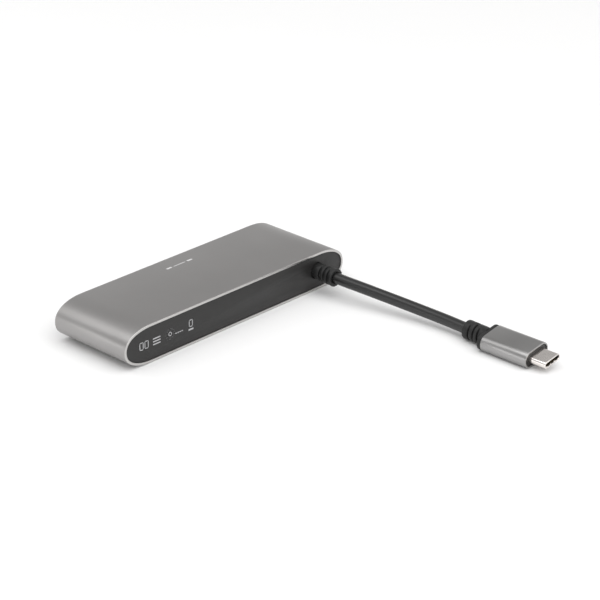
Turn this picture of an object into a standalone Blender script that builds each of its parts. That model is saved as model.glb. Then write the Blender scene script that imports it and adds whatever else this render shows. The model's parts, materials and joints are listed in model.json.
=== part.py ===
"""Pocket docking station for a laptop.

An aluminium sleeve with rounded ends is closed along each long side by a dark panel. Inside it a
plastic tray carries the circuit board with a memory-card socket, two type-A sockets and a video
socket, which open through the +Y panel. A short captive cable leaves through the -Y panel and
ends in a small reversible plug. Units are metres, +Z is up, and the origin is the middle of the
box's underside. The whole object rests on z = 0.
"""
import math

import bmesh
import bpy
from mathutils import Vector

MM = 0.001

# the box
LENGTH = 106.6 * MM
WIDTH = 35.4 * MM
HEIGHT = 14.3 * MM
MIDDLE = HEIGHT / 2
END_RUN = 12.8 * MM            # how far each rounded end reaches in from the tip
END_POWER = 2.25               # 2 is an ellipse, more is squarer
WALL = 0.92 * MM
RIM_CHAMFER = 0.18 * MM
FIT_GAP = 0.15 * MM            # between pieces that fit into one another
PANEL_THICK = 1.2 * MM
PANEL_RECESS = 0.3 * MM
PANEL_FRONT = WIDTH / 2 - PANEL_RECESS
PANEL_BACK = PANEL_FRONT - PANEL_THICK
TAB_PLACES = (-24.0 * MM, 24.0 * MM)
TAB_WIDTH = 6.0 * MM
TAB_REACH = 1.6 * MM
TAB_THICK = 0.8 * MM

# tray and board
CLEARANCE = 0.3 * MM           # between pieces that lie against each other
BURIED = 1.0 * MM              # how far a cutter or a joined block runs past a face
TRAY_BOTTOM = 1.3 * MM
TRAY_FLOOR = 0.9 * MM
TRAY_LENGTH = 89.0 * MM
TRAY_WIDTH = 30.5 * MM
TRAY_RIBS = (-40.0 * MM, -20.0 * MM)
RIB_LENGTH = 24.0 * MM
RIB_THICK = 1.0 * MM
BOARD_BOTTOM = 4.5 * MM
BOARD_THICK = 1.0 * MM
BOARD_TOP = BOARD_BOTTOM + BOARD_THICK
BOARD_LOW = (-48.5 * MM, -14.3 * MM)
BOARD_HIGH = (48.0 * MM, 15.45 * MM)
PART_GAP = 0.1 * MM            # solder height, from the board to the parts on it
CHIP_TALL = 0.9 * MM
CHIP_EDGE = 0.08 * MM
CAN_TOP = BOARD_TOP + 2.6 * MM
CAN_SHEET = 0.2 * MM
POST_RADIUS = 1.5 * MM
POST_TOP = BOARD_BOTTOM - CLEARANCE
PILOT_RADIUS = 0.75 * MM
PILOT_DEPTH = 1.3 * MM
SCREW_PLACES = (
    (-9.0 * MM, -12.0 * MM),
    (22.0 * MM, 9.0 * MM),
    (41.3 * MM, 9.0 * MM),
    (33.2 * MM, -12.0 * MM),
)
SCREW_SHANK = 0.6 * MM
SCREW_LENGTH = 2.2 * MM
SCREW_HEAD = 1.35 * MM
SCREW_HEAD_TALL = 0.75 * MM
SCREW_HOLE = 0.95 * MM
CROSS_SLOT = (1.5 * MM, 0.26 * MM)

# sockets on the +Y side, all centred on the box's mid height
SOCKET_FRONT = PANEL_FRONT - 0.25 * MM
SHEET = 0.3 * MM
TYPE_A_CENTRES = (-3.5 * MM, 13.5 * MM)
TYPE_A_OPENING = (12.5 * MM, 5.12 * MM)
TYPE_A_DEPTH = 14.3 * MM
TYPE_A_TONGUE = (11.1 * MM, 1.84 * MM)
TYPE_A_BLOCK = 3.2 * MM        # thickness of the plastic block at the back
TYPE_A_CONTACTS = (-3.5 * MM, -1.0 * MM, 1.0 * MM, 3.5 * MM)
TYPE_A_STRIP = (1.0 * MM, 0.2 * MM)
TYPE_A_SET_BACK = 0.5 * MM
VIDEO_CENTRE = 31.5 * MM
VIDEO_OPENING = (14.0 * MM, 4.55 * MM)
VIDEO_DEPTH = 11.8 * MM
VIDEO_TONGUE = (11.2 * MM, 1.5 * MM)
VIDEO_DROP = 0.45 * MM         # the tongue's underside below the socket's middle
VIDEO_BLOCK = 3.0 * MM
VIDEO_STRIP = (0.4 * MM, 0.16 * MM)
VIDEO_PITCH = 1.0 * MM
VIDEO_SET_BACK = 0.8 * MM
SHELL_GAP = 0.12 * MM          # from a socket's metal shell to the plastic in it
COMB_BAR = 0.7 * MM            # the strip that joins the contacts at their root
COMB_GAP = 0.05 * MM           # from a contact to the plastic it lies along
SHELL_CORNER = 0.6 * MM
PANEL_CLEARANCE = 0.2 * MM     # from a socket to the edge of its opening

# memory-card socket with its spring-loaded slider
CARD_CENTRE = -28.1 * MM
CARD_CHANNEL = 24.4 * MM
CARD_HEIGHT = 2.2 * MM
BAY_WIDTH = 3.2 * MM           # for the slider, beside the channel
CARD_BASE_BOTTOM = BOARD_TOP + PART_GAP
CARD_FLOOR = CARD_BASE_BOTTOM + 0.5 * MM
CARD_BACK = -13.0 * MM
CARD_FRONT = PANEL_BACK - 0.35 * MM
CARD_RAIL = 0.8 * MM
CARD_COVER = 0.2 * MM
CARD_CONTACTS = 8
CARD_PITCH = 2.5 * MM
CARD_SHIFT = 0.6 * MM          # of the contacts, off the channel's middle
CARD_STRIP = (1.1 * MM, 0.15 * MM, -11.0 * MM, -4.0 * MM)     # width, thickness, root, tip
CARD_WINDOW = (16.0 * MM, 5.0 * MM, 11.0 * MM)                # width, then from and to along Y
COVER_WINDOW = (14.0 * MM, -4.0 * MM, -1.0 * MM)
SLIDER_TRAVEL = 4.5 * MM       # towards -Y, from the rest position that is built here
SLIDER_ORIGIN = Vector((-41.1 * MM, 0.0, CARD_FLOOR + 0.85 * MM))
SLIDER_THICK = 1.4 * MM
SPRING_RADIUS = 0.6 * MM
SPRING_WIRE = 0.12 * MM
SPRING_TURNS = 8
CAM_WIRE = 0.14 * MM
CAM_FRONT = 2.2 * MM
CAM_TIP = -5.4 * MM
CAM_BEND = 0.3 * MM
CAM_GROOVE = (0.6 * MM, 0.5 * MM)
CAM_SPARE = 1.45 * MM          # groove beyond the wire's tip, at both ends of the travel

# the captive cable
CABLE_RADIUS = 2.03 * MM
BOOT_X = 39.9 * MM
BOOT_Z = 7.4 * MM
BOOT_END = -26.8 * MM
BOOT_ROOT = 2.95 * MM
BOOT_RADIUS = 3.35 * MM
BOOT_NECK = 2.85 * MM
BOOT_HOLE = 3.05 * MM
BOOT_FLANGE = (4.1 * MM, 1.2 * MM)
BOOT_GROOVES = (1.9 * MM, 3.8 * MM, 5.9 * MM)      # centres, from the cable end
GROOVE_WIDTH = 0.7 * MM
GROOVE_DEPTH = 0.5 * MM
BOOT_CHAMFER = 0.4 * MM
MOUTH_GAP = 0.25 * MM          # round the cable, where it enters a strain relief
MOUTH_DEPTH = 0.8 * MM
CABLE_ROUTE = (
    (39.9 * MM, -26.7 * MM, 7.4 * MM),
    (40.16 * MM, -31.5 * MM, 7.25 * MM),
    (41.3 * MM, -38.85 * MM, 6.68 * MM),
    (42.8 * MM, -47.25 * MM, 5.84 * MM),
    (44.36 * MM, -56.2 * MM, 4.95 * MM),
    (45.6 * MM, -65.1 * MM, 4.2 * MM),
    (46.22 * MM, -73.5 * MM, 3.78 * MM),
    (46.18 * MM, -82.6 * MM, 3.58 * MM),
)
ROUTE_SPACING = 4.4 * MM
TAIL_END = -9.6 * MM
CRIMP_Y = -11.8 * MM
CRIMP_LENGTH = 1.6 * MM
CRIMP_WALL = 0.35 * MM
CRIMP_GAP = 0.25 * MM
WIRE_RADIUS = 0.3 * MM

# the plug, laid out in its own frame: front face at 0, tip towards -Y
PLUG_PLACE = Vector((46.59 * MM, -112.35 * MM, 3.57 * MM))
PLUG_HEADING = math.radians(0.8)
PLUG_ROLL = math.radians(-9.0)  # it lies on one lower corner, held there by the cable
SLEEVE_SIZE = (12.55 * MM, 6.1 * MM)
SLEEVE_CORNER = 3.0 * MM
SLEEVE_LENGTH = 19.4 * MM
SLEEVE_WALL = 0.55 * MM
SLEEVE_CHAMFER = 0.2 * MM
INSERT_GAP = 0.1 * MM
INSERT_RECESS = 0.35 * MM
INSERT_DEPTH = 4.4 * MM
COLLAR_THICK = 1.5 * MM
SPIGOT_LENGTH = 4.0 * MM
PLUG_BOOT_END = 29.9 * MM
PLUG_BOOT_ROOT = 3.2 * MM
PLUG_BOOT_RADIUS = 3.45 * MM
PLUG_GROOVES = (2.7 * MM, 4.7 * MM, 6.6 * MM)      # centres, from the cable end
TIP_SIZE = (8.25 * MM, 2.4 * MM)
TIP_CORNER = 1.15 * MM
TIP_LENGTH = 6.65 * MM
TIP_BURIED = 5.4 * MM
TIP_WALL = 0.2 * MM
CORE_GAP = 0.06 * MM
CORE_RECESS = 0.35 * MM
CORE_BACK = 4.95 * MM
CORE_SLOT = (6.7 * MM, 1.0 * MM)
CORE_SLOT_DEPTH = 6.0 * MM
PIN_COUNT = 12                 # in each of the two rows
PIN_PITCH = 0.5 * MM
PIN_WIDTH = 0.25 * MM
PIN_THICK = 0.12 * MM
PIN_LEVEL = 0.38 * MM          # of each row, from the plug's middle plane


# ---------------------------------------------------------------- scene, materials, modifiers

def clear_scene():
    for old in list(bpy.data.objects):
        bpy.data.objects.remove(old, do_unlink=True)


def new_collection(name):
    group = bpy.data.collections.new(name)
    bpy.context.scene.collection.children.link(group)
    return group


def surface(name, colour, roughness, metallic=0.0):
    made = bpy.data.materials.new(name)
    made.use_nodes = True
    shader = made.node_tree.nodes["Principled BSDF"]
    shader.inputs["Base Color"].default_value = (*colour, 1.0)
    shader.inputs["Roughness"].default_value = roughness
    shader.inputs["Metallic"].default_value = metallic
    return made


clear_scene()
PARTS = new_collection("docking_station")
CUTTERS = new_collection("cutters")


def steel(name):
    return surface(name, (0.62, 0.60, 0.58), 0.28, 1.0)


def black_plastic(name):
    return surface(name, (0.03, 0.03, 0.03), 0.5)


def gold(name):
    return surface(name, (0.83, 0.62, 0.26), 0.3, 1.0)


def chip_epoxy(name):
    return surface(name, (0.025, 0.025, 0.028), 0.55)


def add_piece(name, data, finish, group=None):
    piece = bpy.data.objects.new(name, data)
    (group or PARTS).objects.link(piece)
    if finish:
        data.materials.append(finish)
    return piece


def hide_cutter(piece):
    piece.hide_render = True
    piece.display_type = "WIRE"


def combine(piece, other, operation):
    step = piece.modifiers.new(operation.lower() + "_" + other.name, "BOOLEAN")
    step.operation = operation
    step.solver = "EXACT"
    step.object = other


def cut(piece, cutter):
    combine(piece, cutter, "DIFFERENCE")


def join(piece, other):
    combine(piece, other, "UNION")


def bevel(piece, width, segments=1, angle=40.0):
    step = piece.modifiers.new("bevel", "BEVEL")
    step.width = width
    step.segments = segments
    step.limit_method = "ANGLE"
    step.angle_limit = math.radians(angle)


def smooth(piece, angle=35.0):
    piece.data.shade_smooth()
    piece.data.set_sharp_from_angle(angle=math.radians(angle))


# ---------------------------------------------------------------- basic shapes

def block(name, low, high, finish=None, group=None, rounded=0.0):
    """A box between two corners, with its origin at its centre."""
    low, high = Vector(low), Vector(high)
    bm = bmesh.new()
    bmesh.ops.create_cube(bm, size=1.0)
    bmesh.ops.scale(bm, vec=high - low, verts=bm.verts)
    mesh = bpy.data.meshes.new(name)
    bm.to_mesh(mesh)
    bm.free()
    piece = add_piece(name, mesh, finish, group)
    piece.location = (low + high) / 2
    if rounded:
        bevel(piece, rounded)
    return piece


def block_tool(name, low, high):
    """A box that cuts or joins another piece and isn't part of the object itself."""
    piece = block(name, low, high, None, CUTTERS)
    hide_cutter(piece)
    return piece


def round_tool(name, place, radius, depth, axis="Z", sides=20):
    """A cylinder that cuts or joins another piece, centred on place."""
    bm = bmesh.new()
    bmesh.ops.create_cone(bm, cap_ends=True, segments=sides, radius1=radius, radius2=radius, depth=depth)
    mesh = bpy.data.meshes.new(name)
    bm.to_mesh(mesh)
    bm.free()
    piece = add_piece(name, mesh, None, CUTTERS)
    hide_cutter(piece)
    piece.location = place
    if axis == "Y":
        piece.rotation_euler.x = math.pi / 2
    return piece


def rounded_rectangle(width, height, radius, steps=4):
    """Outline points, counter-clockwise, round corners as arcs."""
    points = []
    for turn, (sx, sz) in enumerate(((1, 1), (-1, 1), (-1, -1), (1, -1))):
        cx = sx * (width / 2 - radius)
        cz = sz * (height / 2 - radius)
        for k in range(steps + 1):
            a = math.pi / 2 * (turn + k / steps)
            points.append((cx + radius * math.cos(a), cz + radius * math.sin(a)))
    return points


def circle(radius, sides=20):
    turns = [2 * math.pi * k / sides for k in range(sides)]
    return [(radius * math.cos(a), radius * math.sin(a)) for a in turns]


def box_outline(inset, steps=9):
    """The box's cross-section from the front, moved in by inset: flat top and bottom, soft ends."""
    run = END_RUN - inset
    rise = HEIGHT / 2 - inset
    straight = LENGTH / 2 - END_RUN
    quarter = []
    for k in range(steps + 1):
        a = math.pi / 2 * k / steps
        quarter.append((run * math.cos(a) ** (2 / END_POWER), rise * math.sin(a) ** (2 / END_POWER)))
    right_top = [(straight + x, z) for x, z in quarter]
    left_top = [(-x, z) for x, z in reversed(right_top)]
    left_bottom = [(x, -z) for x, z in reversed(left_top)][1:]
    right_bottom = [(x, -z) for x, z in reversed(right_top)][:-1]
    return right_top + left_top + left_bottom + right_bottom


def video_outline(inset):
    """The video socket's outline: square above, slanting in to a narrower foot."""
    half = VIDEO_OPENING[0] / 2 - inset
    rise = VIDEO_OPENING[1] / 2 - inset
    shoulder = -0.55 * MM
    foot = half - 1.5 * MM
    return [(half, shoulder), (half, rise), (-half, rise), (-half, shoulder), (-foot, -rise), (foot, -rise)]


def plate(name, outline, thick, finish=None, group=None, flat=False):
    """A flat outline of a given thickness. It stands facing Y, or lies facing Z where flat is set."""
    curve = bpy.data.curves.new(name, "CURVE")
    curve.dimensions = "2D"
    curve.fill_mode = "BOTH"
    curve.extrude = thick / 2
    spline = curve.splines.new("POLY")
    spline.points.add(len(outline) - 1)
    for point, (x, y) in zip(spline.points, outline):
        point.co = (x, y, 0.0, 1.0)
    spline.use_cyclic_u = True
    piece = add_piece(name, curve, finish, group)
    if not flat:
        piece.rotation_euler.x = math.pi / 2
    return piece


def as_mesh(piece):
    """The curve object made into a welded mesh object of the same name and place."""
    bpy.context.view_layer.update()
    ready = piece.evaluated_get(bpy.context.evaluated_depsgraph_get())
    mesh = bpy.data.meshes.new_from_object(ready)
    bm = bmesh.new()
    bm.from_mesh(mesh)
    bmesh.ops.remove_doubles(bm, verts=bm.verts, dist=0.000001)
    bm.to_mesh(mesh)
    bm.free()
    name = piece.name
    group = piece.users_collection[0]
    place = piece.matrix_world.copy()
    hidden = piece.hide_render
    bpy.data.objects.remove(piece, do_unlink=True)
    made = bpy.data.objects.new(name, mesh)
    group.objects.link(made)
    made.matrix_world = place
    if hidden:
        hide_cutter(made)
    return made


def plate_tool(name, outline, thick, place):
    piece = plate(name, outline, thick, None, CUTTERS)
    hide_cutter(piece)
    piece.location = place
    return as_mesh(piece)


def sleeve(name, outline, length, wall, finish):
    """A tube along Y: the outline's surface, thickened inwards."""
    bm = bmesh.new()
    ring = [bm.verts.new((x, -length / 2, z)) for x, z in outline]
    edges = [bm.edges.new((ring[k - 1], ring[k])) for k in range(len(ring))]
    grown = bmesh.ops.extrude_edge_only(bm, edges=edges)["geom"]
    moved = [item for item in grown if isinstance(item, bmesh.types.BMVert)]
    bmesh.ops.translate(bm, vec=(0, length, 0), verts=moved)
    mesh = bpy.data.meshes.new(name)
    bm.to_mesh(mesh)
    bm.free()
    piece = add_piece(name, mesh, finish)
    step = piece.modifiers.new("wall", "SOLIDIFY")
    step.thickness = wall
    step.offset = -1.0
    step.use_even_offset = True
    return piece


def turned(name, profile, finish=None, group=None, sides=20):
    """A solid turned about its local Z from (radius, height) points, listed from top to bottom."""
    mesh = bpy.data.meshes.new(name)
    points = [(radius, 0.0, height) for radius, height in profile]
    mesh.from_pydata(points, [(k, k + 1) for k in range(len(points) - 1)], [])
    piece = add_piece(name, mesh, finish, group)
    step = piece.modifiers.new("turn", "SCREW")
    step.steps = sides
    step.render_steps = sides
    step.use_merge_vertices = True
    step.merge_threshold = 0.00001
    step.use_smooth_shade = True
    return piece


def turned_tool(name, profile, place):
    """A turned solid standing along -Y, to join to another piece."""
    piece = turned(name, profile, None, CUTTERS)
    hide_cutter(piece)
    piece.location = place
    piece.rotation_euler.x = math.pi / 2
    return piece


def wire(name, points, radius, finish, resolution=1):
    curve = bpy.data.curves.new(name, "CURVE")
    curve.dimensions = "3D"
    curve.bevel_depth = radius
    curve.bevel_resolution = resolution
    curve.use_fill_caps = True
    spline = curve.splines.new("POLY")
    spline.points.add(len(points) - 1)
    for point, place in zip(spline.points, points):
        point.co = (*place, 1.0)
    return add_piece(name, curve, finish)


def spline_point(corners, share):
    """A point on the middle span of a centripetal Catmull-Rom curve; share runs from 0 to 1."""
    times = [0.0]
    for a, b in zip(corners, corners[1:]):
        times.append(times[-1] + math.sqrt((b - a).length))
    now = times[1] + (times[2] - times[1]) * share
    level = list(corners)
    for reach in (1, 2):
        blended = []
        for k in range(len(level) - 1):
            part = (now - times[k]) / (times[k + reach] - times[k])
            blended.append(level[k].lerp(level[k + 1], part))
        level = blended
    return level[0].lerp(level[1], share)


def smooth_route(knots, spacing):
    """Points about spacing apart on one smooth curve through the knots."""
    knots = [Vector(k) for k in knots]
    ends = [2 * knots[0] - knots[1]] + knots + [2 * knots[-1] - knots[-2]]
    route = [knots[0]]
    for k in range(1, len(ends) - 2):
        pieces = max(1, round((ends[k + 1] - ends[k]).length / spacing))
        for j in range(1, pieces + 1):
            route.append(spline_point(ends[k - 1:k + 3], j / pieces))
    return route


# ---------------------------------------------------------------- box and panels

def housing_sleeve():
    finish = surface("bead_blasted_aluminium", (0.36, 0.35, 0.35), 0.42, 1.0)
    piece = sleeve("housing_sleeve", box_outline(0.0), WIDTH, WALL, finish)
    piece.location = (0, 0, MIDDLE)
    bevel(piece, RIM_CHAMFER)
    smooth(piece)


def panel_plate(name, side):
    """A dark panel that fills the sleeve's mouth; side is 1 for +Y and -1 for -Y."""
    finish = surface(name + "_plastic", (0.028, 0.027, 0.027), 0.45)
    piece = plate(name, box_outline(WALL + FIT_GAP), PANEL_THICK, finish)
    piece.location = (0, side * (PANEL_FRONT + PANEL_BACK) / 2, MIDDLE)
    piece = as_mesh(piece)
    tab_bottom = TRAY_BOTTOM + TRAY_FLOOR + CLEARANCE
    for number, x in enumerate(TAB_PLACES):
        near, far = sorted((side * (PANEL_BACK - TAB_REACH), side * (PANEL_BACK + PANEL_THICK / 2)))
        low = (x - TAB_WIDTH / 2, near, tab_bottom)
        high = (x + TAB_WIDTH / 2, far, tab_bottom + TAB_THICK)
        join(piece, block_tool("{}_tab_{}".format(name, number + 1), low, high))
    return piece


def cable_side_panel():
    piece = panel_plate("cable_side_panel", -1)
    hole = (BOOT_X, -(PANEL_FRONT + PANEL_BACK) / 2, BOOT_Z)
    cut(piece, round_tool("boot_hole", hole, BOOT_HOLE, 3 * PANEL_THICK, "Y", 28))


def port_side_panel():
    piece = panel_plate("port_side_panel", 1)
    y = (PANEL_FRONT + PANEL_BACK) / 2
    deep = 3 * PANEL_THICK
    grow = 2 * (SHEET + PANEL_CLEARANCE)
    for number, x in enumerate(TYPE_A_CENTRES):
        wide, tall = TYPE_A_OPENING[0] + grow, TYPE_A_OPENING[1] + grow
        outline = rounded_rectangle(wide, tall, SHELL_CORNER + PANEL_CLEARANCE)
        cut(piece, plate_tool("type_a_hole_{}".format(number + 1), outline, deep, (x, y, MIDDLE)))
    outline = video_outline(-SHEET - PANEL_CLEARANCE)
    cut(piece, plate_tool("video_hole", outline, deep, (VIDEO_CENTRE, y, MIDDLE)))
    slot_middle = CARD_FLOOR + CARD_HEIGHT / 2
    edge = 2 * PANEL_CLEARANCE
    outline = rounded_rectangle(CARD_CHANNEL + edge, CARD_HEIGHT + edge, edge, 3)
    cut(piece, plate_tool("card_hole", outline, deep, (CARD_CENTRE, y, slot_middle)))


# ---------------------------------------------------------------- tray, board and screws

def carrier_tray():
    finish = surface("tray_plastic", (0.05, 0.05, 0.055), 0.55)
    low = (-TRAY_LENGTH / 2, -TRAY_WIDTH / 2, TRAY_BOTTOM)
    high = (TRAY_LENGTH / 2, TRAY_WIDTH / 2, TRAY_BOTTOM + TRAY_FLOOR)
    piece = block("carrier_tray", low, high, finish)
    root = TRAY_BOTTOM + TRAY_FLOOR / 2
    middle = (POST_TOP + root) / 2
    tall = POST_TOP - root
    for number, (x, y) in enumerate(SCREW_PLACES):
        join(piece, round_tool("post_{}".format(number + 1), (x, y, middle), POST_RADIUS, tall))
        place, deep = (x, y, POST_TOP), 2 * PILOT_DEPTH
        cut(piece, round_tool("pilot_{}".format(number + 1), place, PILOT_RADIUS, deep, "Z", 12))
    for number, x in enumerate(TRAY_RIBS):
        low = (x - RIB_THICK / 2, -RIB_LENGTH / 2, root)
        high = (x + RIB_THICK / 2, RIB_LENGTH / 2, POST_TOP)
        join(piece, block_tool("rib_{}".format(number + 1), low, high))


def main_board():
    finish = surface("board_laminate", (0.012, 0.05, 0.03), 0.4)
    piece = block("main_board", (*BOARD_LOW, BOARD_BOTTOM), (*BOARD_HIGH, BOARD_TOP), finish)
    beyond = BOARD_HIGH[1] + BURIED
    under, over = BOARD_BOTTOM - BURIED, BOARD_TOP + BURIED
    half = TYPE_A_OPENING[0] / 2 + SHEET + PANEL_CLEARANCE
    for number, x in enumerate(TYPE_A_CENTRES):
        low = (x - half, SOCKET_FRONT - TYPE_A_DEPTH - CLEARANCE, under)
        cut(piece, block_tool("type_a_notch_{}".format(number + 1), low, (x + half, beyond, over)))
    half = VIDEO_OPENING[0] / 2 + SHEET + PANEL_CLEARANCE
    low = (VIDEO_CENTRE - half, SOCKET_FRONT - VIDEO_DEPTH - CLEARANCE, under)
    cut(piece, block_tool("video_notch", low, (VIDEO_CENTRE + half, beyond, over)))
    half = CABLE_RADIUS + 3 * CLEARANCE
    low = (BOOT_X - half, BOARD_LOW[1] - BURIED, under)
    cut(piece, block_tool("cable_notch", low, (BOOT_X + half, TAIL_END + 0.8 * MM, over)))
    for number, (x, y) in enumerate(SCREW_PLACES):
        hole = (x, y, (BOARD_BOTTOM + BOARD_TOP) / 2)
        cut(piece, round_tool("board_hole_{}".format(number + 1), hole, SCREW_HOLE, 3 * BOARD_THICK, "Z", 16))


def board_screws():
    seat = BOARD_TOP + PART_GAP
    shoulder = SCREW_HEAD_TALL / 2
    profile = [
        (0.0, SCREW_HEAD_TALL),
        (SCREW_HEAD - shoulder, SCREW_HEAD_TALL),
        (SCREW_HEAD, shoulder),
        (SCREW_HEAD, 0.0),
        (SCREW_SHANK, 0.0),
        (SCREW_SHANK, -SCREW_LENGTH),
        (0.0, -SCREW_LENGTH - SCREW_SHANK / 2),
    ]
    for number, (x, y) in enumerate(SCREW_PLACES):
        name = "board_screw_{}".format(number + 1)
        piece = turned(name, profile, steel(name + "_steel"), None, 16)
        piece.location = (x, y, seat)
        for letter, (along_x, along_y) in (("a", CROSS_SLOT), ("b", reversed(CROSS_SLOT))):
            low = (x - along_x / 2, y - along_y / 2, seat + shoulder)
            high = (x + along_x / 2, y + along_y / 2, seat + SCREW_HEAD_TALL + BURIED)
            cut(piece, block_tool(name + "_slot_" + letter, low, high))


# ---------------------------------------------------------------- chips and other parts on the board

def board_part(name, x, y, size, finish, rounded):
    """A small part standing on its solder, just above the board's top face."""
    long, wide, tall = size
    low = (x - long / 2, y - wide / 2, BOARD_TOP + PART_GAP)
    high = (x + long / 2, y + wide / 2, BOARD_TOP + PART_GAP + tall)
    return block(name, low, high, finish, None, rounded)


def chips():
    """Black square packages: name, middle, and size along X, Y and Z."""
    square = (4.0 * MM, 4.0 * MM, 0.8 * MM)
    packages = (
        ("hub_controller_chip", -2.0 * MM, -6.2 * MM, (8.0 * MM, 8.0 * MM, CHIP_TALL)),
        ("video_converter_chip", 11.5 * MM, -6.2 * MM, (7.0 * MM, 7.0 * MM, CHIP_TALL)),
        ("power_controller_chip", 24.0 * MM, -6.0 * MM, (5.0 * MM, 5.0 * MM, CHIP_TALL)),
        ("card_reader_chip", 27.6 * MM, 0.2 * MM, square),
        ("memory_chip", 20.8 * MM, -0.6 * MM, (4.9 * MM, 3.0 * MM, 1.2 * MM)),
    )
    for name, x, y, size in packages:
        board_part(name, x, y, size, chip_epoxy(name + "_epoxy"), CHIP_EDGE)


def passive_parts():
    """The crystal, the power coil and two tantalum capacitors, in their usual package sizes."""
    tin = surface("crystal_can", (0.7, 0.68, 0.62), 0.3, 1.0)
    board_part("crystal", 21.5 * MM, -11.8 * MM, (3.2 * MM, 2.5 * MM, 0.75 * MM), tin, 0.2 * MM)
    ferrite = surface("inductor_ferrite", (0.05, 0.05, 0.055), 0.6)
    board_part("power_inductor", 27.6 * MM, -10.8 * MM, (4.0 * MM, 4.0 * MM, 1.9 * MM), ferrite, 0.4 * MM)
    case_size = (2.8 * MM, 3.5 * MM, 1.9 * MM)
    for number, y in enumerate((-5.6 * MM, -1.4 * MM)):
        name = "bulk_capacitor_{}".format(number + 1)
        tantalum = surface(name + "_case", (0.75, 0.45, 0.12), 0.45)
        board_part(name, 33.0 * MM, y, case_size, tantalum, 0.15 * MM)


def shield_can():
    """A tin lid, open below, over the two large chips."""
    low = Vector((-7.2 * MM, -11.2 * MM, BOARD_TOP + PART_GAP))
    high = Vector((16.6 * MM, -1.2 * MM, CAN_TOP))
    piece = block("shield_can", low, high, steel("shield_tinplate"), None, 0.15 * MM)
    inner_low = (low.x + CAN_SHEET, low.y + CAN_SHEET, low.z - BURIED)
    inner_high = (high.x - CAN_SHEET, high.y - CAN_SHEET, high.z - CAN_SHEET)
    cut(piece, block_tool("shield_hollow", inner_low, inner_high))


def thermal_pad():
    """It lies between the hub controller chip and the shield can."""
    pad = surface("thermal_pad_silicone", (0.35, 0.42, 0.55), 0.7)
    low = (-5.0 * MM, -9.2 * MM, BOARD_TOP + PART_GAP + CHIP_TALL + PART_GAP)
    high = (1.0 * MM, -3.2 * MM, CAN_TOP - CAN_SHEET - PART_GAP)
    block("thermal_pad", low, high, pad)


# ---------------------------------------------------------------- sockets of the +Y side

def comb_outline(places, tooth, base, root, tip):
    """Flat contact strips side by side, held together by a bar at their root."""
    half = tooth / 2
    points = [(places[0] - half, root), (places[-1] + half, root)]
    last = len(places) - 1
    for k, x in reversed(list(enumerate(places))):
        if k < last:
            points.append((x + half, root + base))
        points += [(x + half, tip), (x - half, tip)]
        if k > 0:
            points.append((x - half, root + base))
    return points


def contact_comb(name, centre, places, tooth, root, tip, level, thick):
    """A comb of contacts at one height, from root (inside) to tip (towards the mouth)."""
    outline = comb_outline(places, tooth, COMB_BAR, root, tip)
    piece = plate(name, outline, thick, gold(name + "_gilt"), None, True)
    piece.location = (centre, 0, level)
    return piece


def type_a_socket(number, x):
    wide, tall = TYPE_A_OPENING
    name = "type_a_shell_{}".format(number)
    outline = rounded_rectangle(wide + 2 * SHEET, tall + 2 * SHEET, SHELL_CORNER, 3)
    shell = sleeve(name, outline, TYPE_A_DEPTH, SHEET, steel(name + "_steel"))
    back = SOCKET_FRONT - TYPE_A_DEPTH
    shell.location = (x, (SOCKET_FRONT + back) / 2, MIDDLE)
    smooth(shell)

    name = "type_a_tongue_{}".format(number)
    gap = SHELL_GAP
    block_front = back + TYPE_A_BLOCK
    low = (x - wide / 2 + gap, back + gap, MIDDLE - tall / 2 + gap)
    high = (x + wide / 2 - gap, block_front, MIDDLE + tall / 2 - gap)
    body = block(name, low, high, black_plastic(name + "_plastic"))
    half = TYPE_A_TONGUE[0] / 2
    low = (x - half, back + BURIED, MIDDLE)
    high = (x + half, SOCKET_FRONT - TYPE_A_SET_BACK, MIDDLE + TYPE_A_TONGUE[1])
    join(body, block_tool(name + "_blade", low, high))

    name = "type_a_contacts_{}".format(number)
    root = block_front + PANEL_CLEARANCE
    tip = SOCKET_FRONT - TYPE_A_SET_BACK - COMB_BAR
    level = MIDDLE - TYPE_A_STRIP[1] / 2 - COMB_GAP
    contact_comb(name, x, TYPE_A_CONTACTS, TYPE_A_STRIP[0], root, tip, level, TYPE_A_STRIP[1])


def video_socket():
    back = SOCKET_FRONT - VIDEO_DEPTH
    shell = sleeve("video_port_shell", video_outline(-SHEET), VIDEO_DEPTH, SHEET, steel("video_shell_steel"))
    shell.location = (VIDEO_CENTRE, (SOCKET_FRONT + back) / 2, MIDDLE)

    block_back = back + SHELL_GAP
    block_front = back + VIDEO_BLOCK
    plastic = black_plastic("video_tongue_plastic")
    body = plate("video_port_tongue", video_outline(SHELL_GAP), block_front - block_back, plastic)
    body.location = (VIDEO_CENTRE, (block_back + block_front) / 2, MIDDLE)
    body = as_mesh(body)
    half = VIDEO_TONGUE[0] / 2
    under = MIDDLE - VIDEO_DROP
    over = under + VIDEO_TONGUE[1]
    low = (VIDEO_CENTRE - half, back + BURIED, under)
    high = (VIDEO_CENTRE + half, SOCKET_FRONT - VIDEO_SET_BACK, over)
    join(body, block_tool("video_blade", low, high))

    root = block_front + PANEL_CLEARANCE
    tip = SOCKET_FRONT - VIDEO_SET_BACK - COMB_BAR
    wide, thick = VIDEO_STRIP
    away = thick / 2 + COMB_GAP
    for name, count, level in (
        ("video_contacts_upper", 10, over + away),
        ("video_contacts_lower", 9, under - away),
    ):
        places = [(k - (count - 1) / 2) * VIDEO_PITCH for k in range(count)]
        contact_comb(name, VIDEO_CENTRE, places, wide, root, tip, level, thick)


# ---------------------------------------------------------------- memory-card socket

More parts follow.
